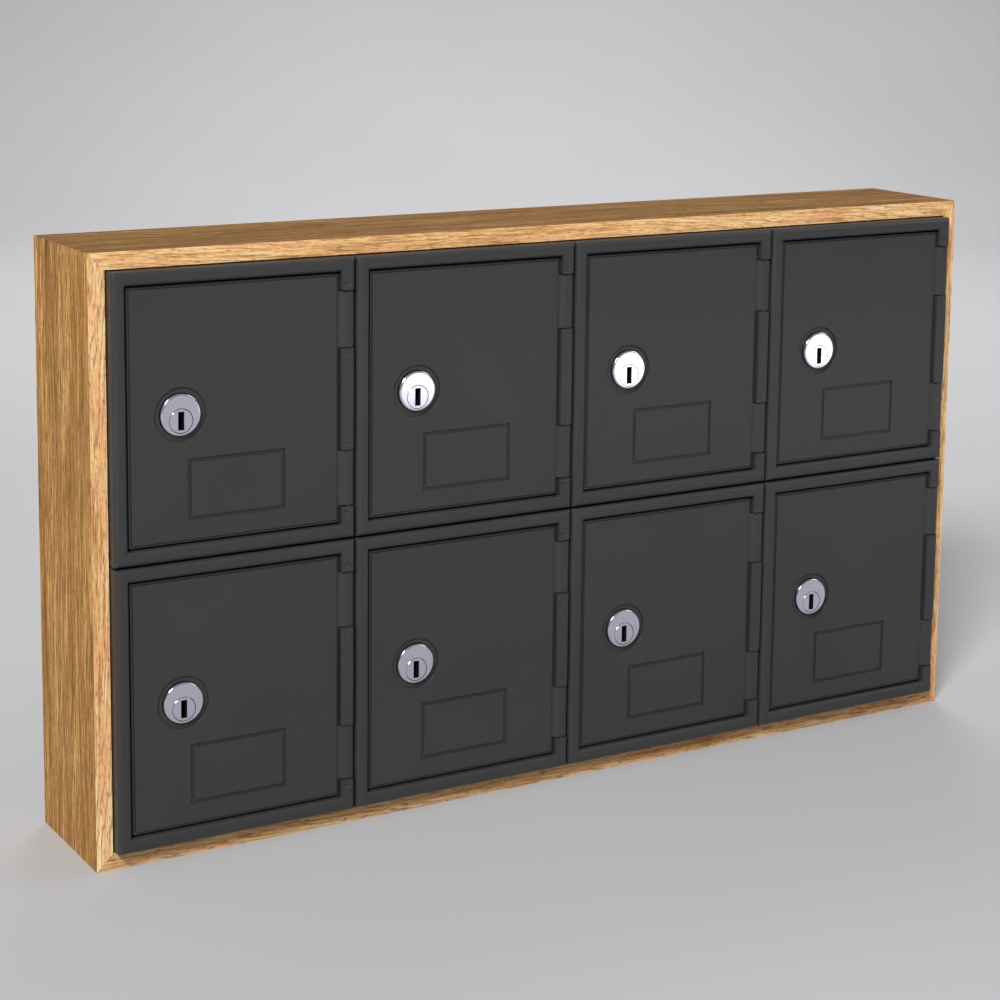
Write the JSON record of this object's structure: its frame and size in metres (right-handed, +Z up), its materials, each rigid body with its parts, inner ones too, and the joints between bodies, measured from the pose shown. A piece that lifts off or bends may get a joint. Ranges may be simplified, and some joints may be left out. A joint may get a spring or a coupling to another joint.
{
  "type": "multi-compartment cabinet with cam locks",
  "caption": "Low wooden-cased cabinet of small square lockers in two rows, each with a dark hinged door, a chrome cam lock and a grooved label frame.",
  "frame": {"origin": "middle of the base, on the surface that the cabinet stands on", "axes": "+X along the width to the right as seen from the front, +Y from the doors to the back panel, +Z up"},
  "size_m": [0.569, 0.0886, 0.325],
  "materials": {
    "oak": "clear satin lacquer over straight-grained oak",
    "hardboard": "plain brown hardboard",
    "enamel": "dark grey satin stoved enamel",
    "chrome": "bright chrome plate, lightly brushed face",
    "zinc_plate": "bright zinc plate"
  },
  "bodies": {
    "cabinet": {"case_top": "oak", "case_bottom": "oak", "case_left": "oak", "case_right": "oak", "back_panel": "hardboard", "module_body_1": "enamel", "hinge_pin_1": "zinc_plate", "module_body_2": "enamel", "hinge_pin_2": "zinc_plate", "module_body_3": "enamel", "hinge_pin_3": "zinc_plate", "module_body_4": "enamel", "hinge_pin_4": "zinc_plate", "module_body_5": "enamel", "hinge_pin_5": "zinc_plate", "module_body_6": "enamel", "hinge_pin_6": "zinc_plate", "module_body_7": "enamel", "hinge_pin_7": "zinc_plate", "module_body_8": "enamel", "hinge_pin_8": "zinc_plate"},
    "door_assembly_1": {"door_1": "enamel", "lock_body_1": "chrome"},
    "plug_assembly_1": {"lock_plug_1": "chrome", "lock_cam_1": "zinc_plate"},
    "door_assembly_2": {"door_2": "enamel", "lock_body_2": "chrome"},
    "plug_assembly_2": {"lock_plug_2": "chrome", "lock_cam_2": "zinc_plate"},
    "door_assembly_3": {"door_3": "enamel", "lock_body_3": "chrome"},
    "plug_assembly_3": {"lock_plug_3": "chrome", "lock_cam_3": "zinc_plate"},
    "door_assembly_4": {"door_4": "enamel", "lock_body_4": "chrome"},
    "plug_assembly_4": {"lock_plug_4": "chrome", "lock_cam_4": "zinc_plate"},
    "door_assembly_5": {"door_5": "enamel", "lock_body_5": "chrome"},
    "plug_assembly_5": {"lock_plug_5": "chrome", "lock_cam_5": "zinc_plate"},
    "door_assembly_6": {"door_6": "enamel", "lock_body_6": "chrome"},
    "plug_assembly_6": {"lock_plug_6": "chrome", "lock_cam_6": "zinc_plate"},
    "door_assembly_7": {"door_7": "enamel", "lock_body_7": "chrome"},
    "plug_assembly_7": {"lock_plug_7": "chrome", "lock_cam_7": "zinc_plate"},
    "door_assembly_8": {"door_8": "enamel", "lock_body_8": "chrome"},
    "plug_assembly_8": {"lock_plug_8": "chrome", "lock_cam_8": "zinc_plate"}
  },
  "joints": [
    {"name": "door_hinge_1", "type": "hinge", "parent": "cabinet", "child": "door_assembly_1", "pos_m": [-0.14133, -0.0409, 0.23917], "axis": [0, 0, 1], "range_deg": [0, 105]},
    {"name": "lock_turn_1", "type": "hinge", "parent": "door_assembly_1", "child": "plug_assembly_1", "pos_m": [-0.2379, -0.04325, 0.2365], "axis": [0, 1, 0], "range_deg": [0, 90]},
    {"name": "door_hinge_2", "type": "hinge", "parent": "cabinet", "child": "door_assembly_2", "pos_m": [-0.00365, -0.0409, 0.23917], "axis": [0, 0, 1], "range_deg": [0, 105]},
    {"name": "lock_turn_2", "type": "hinge", "parent": "door_assembly_2", "child": "plug_assembly_2", "pos_m": [-0.10022, -0.04325, 0.2365], "axis": [0, 1, 0], "range_deg": [0, 90]},
    {"name": "door_hinge_3", "type": "hinge", "parent": "cabinet", "child": "door_assembly_3", "pos_m": [0.13403, -0.0409, 0.23917], "axis": [0, 0, 1], "range_deg": [0, 105]},
    {"name": "lock_turn_3", "type": "hinge", "parent": "door_assembly_3", "child": "plug_assembly_3", "pos_m": [0.03745, -0.04325, 0.2365], "axis": [0, 1, 0], "range_deg": [0, 90]},
    {"name": "door_hinge_4", "type": "hinge", "parent": "cabinet", "child": "door_assembly_4", "pos_m": [0.2717, -0.0409, 0.23917], "axis": [0, 0, 1], "range_deg": [0, 105]},
    {"name": "lock_turn_4", "type": "hinge", "parent": "door_assembly_4", "child": "plug_assembly_4", "pos_m": [0.17513, -0.04325, 0.2365], "axis": [0, 1, 0], "range_deg": [0, 90]},
    {"name": "door_hinge_5", "type": "hinge", "parent": "cabinet", "child": "door_assembly_5", "pos_m": [-0.14133, -0.0409, 0.08582], "axis": [0, 0, 1], "range_deg": [0, 105]},
    {"name": "lock_turn_5", "type": "hinge", "parent": "door_assembly_5", "child": "plug_assembly_5", "pos_m": [-0.2379, -0.04325, 0.08315], "axis": [0, 1, 0], "range_deg": [0, 90]},
    {"name": "door_hinge_6", "type": "hinge", "parent": "cabinet", "child": "door_assembly_6", "pos_m": [-0.00365, -0.0409, 0.08582], "axis": [0, 0, 1], "range_deg": [0, 105]},
    {"name": "lock_turn_6", "type": "hinge", "parent": "door_assembly_6", "child": "plug_assembly_6", "pos_m": [-0.10022, -0.04325, 0.08315], "axis": [0, 1, 0], "range_deg": [0, 90]},
    {"name": "door_hinge_7", "type": "hinge", "parent": "cabinet", "child": "door_assembly_7", "pos_m": [0.13403, -0.0409, 0.08582], "axis": [0, 0, 1], "range_deg": [0, 105]},
    {"name": "lock_turn_7", "type": "hinge", "parent": "door_assembly_7", "child": "plug_assembly_7", "pos_m": [0.03745, -0.04325, 0.08315], "axis": [0, 1, 0], "range_deg": [0, 90]},
    {"name": "door_hinge_8", "type": "hinge", "parent": "cabinet", "child": "door_assembly_8", "pos_m": [0.2717, -0.0409, 0.08582], "axis": [0, 0, 1], "range_deg": [0, 105]},
    {"name": "lock_turn_8", "type": "hinge", "parent": "door_assembly_8", "child": "plug_assembly_8", "pos_m": [0.17513, -0.04325, 0.08315], "axis": [0, 1, 0], "range_deg": [0, 90]}
  ]
}
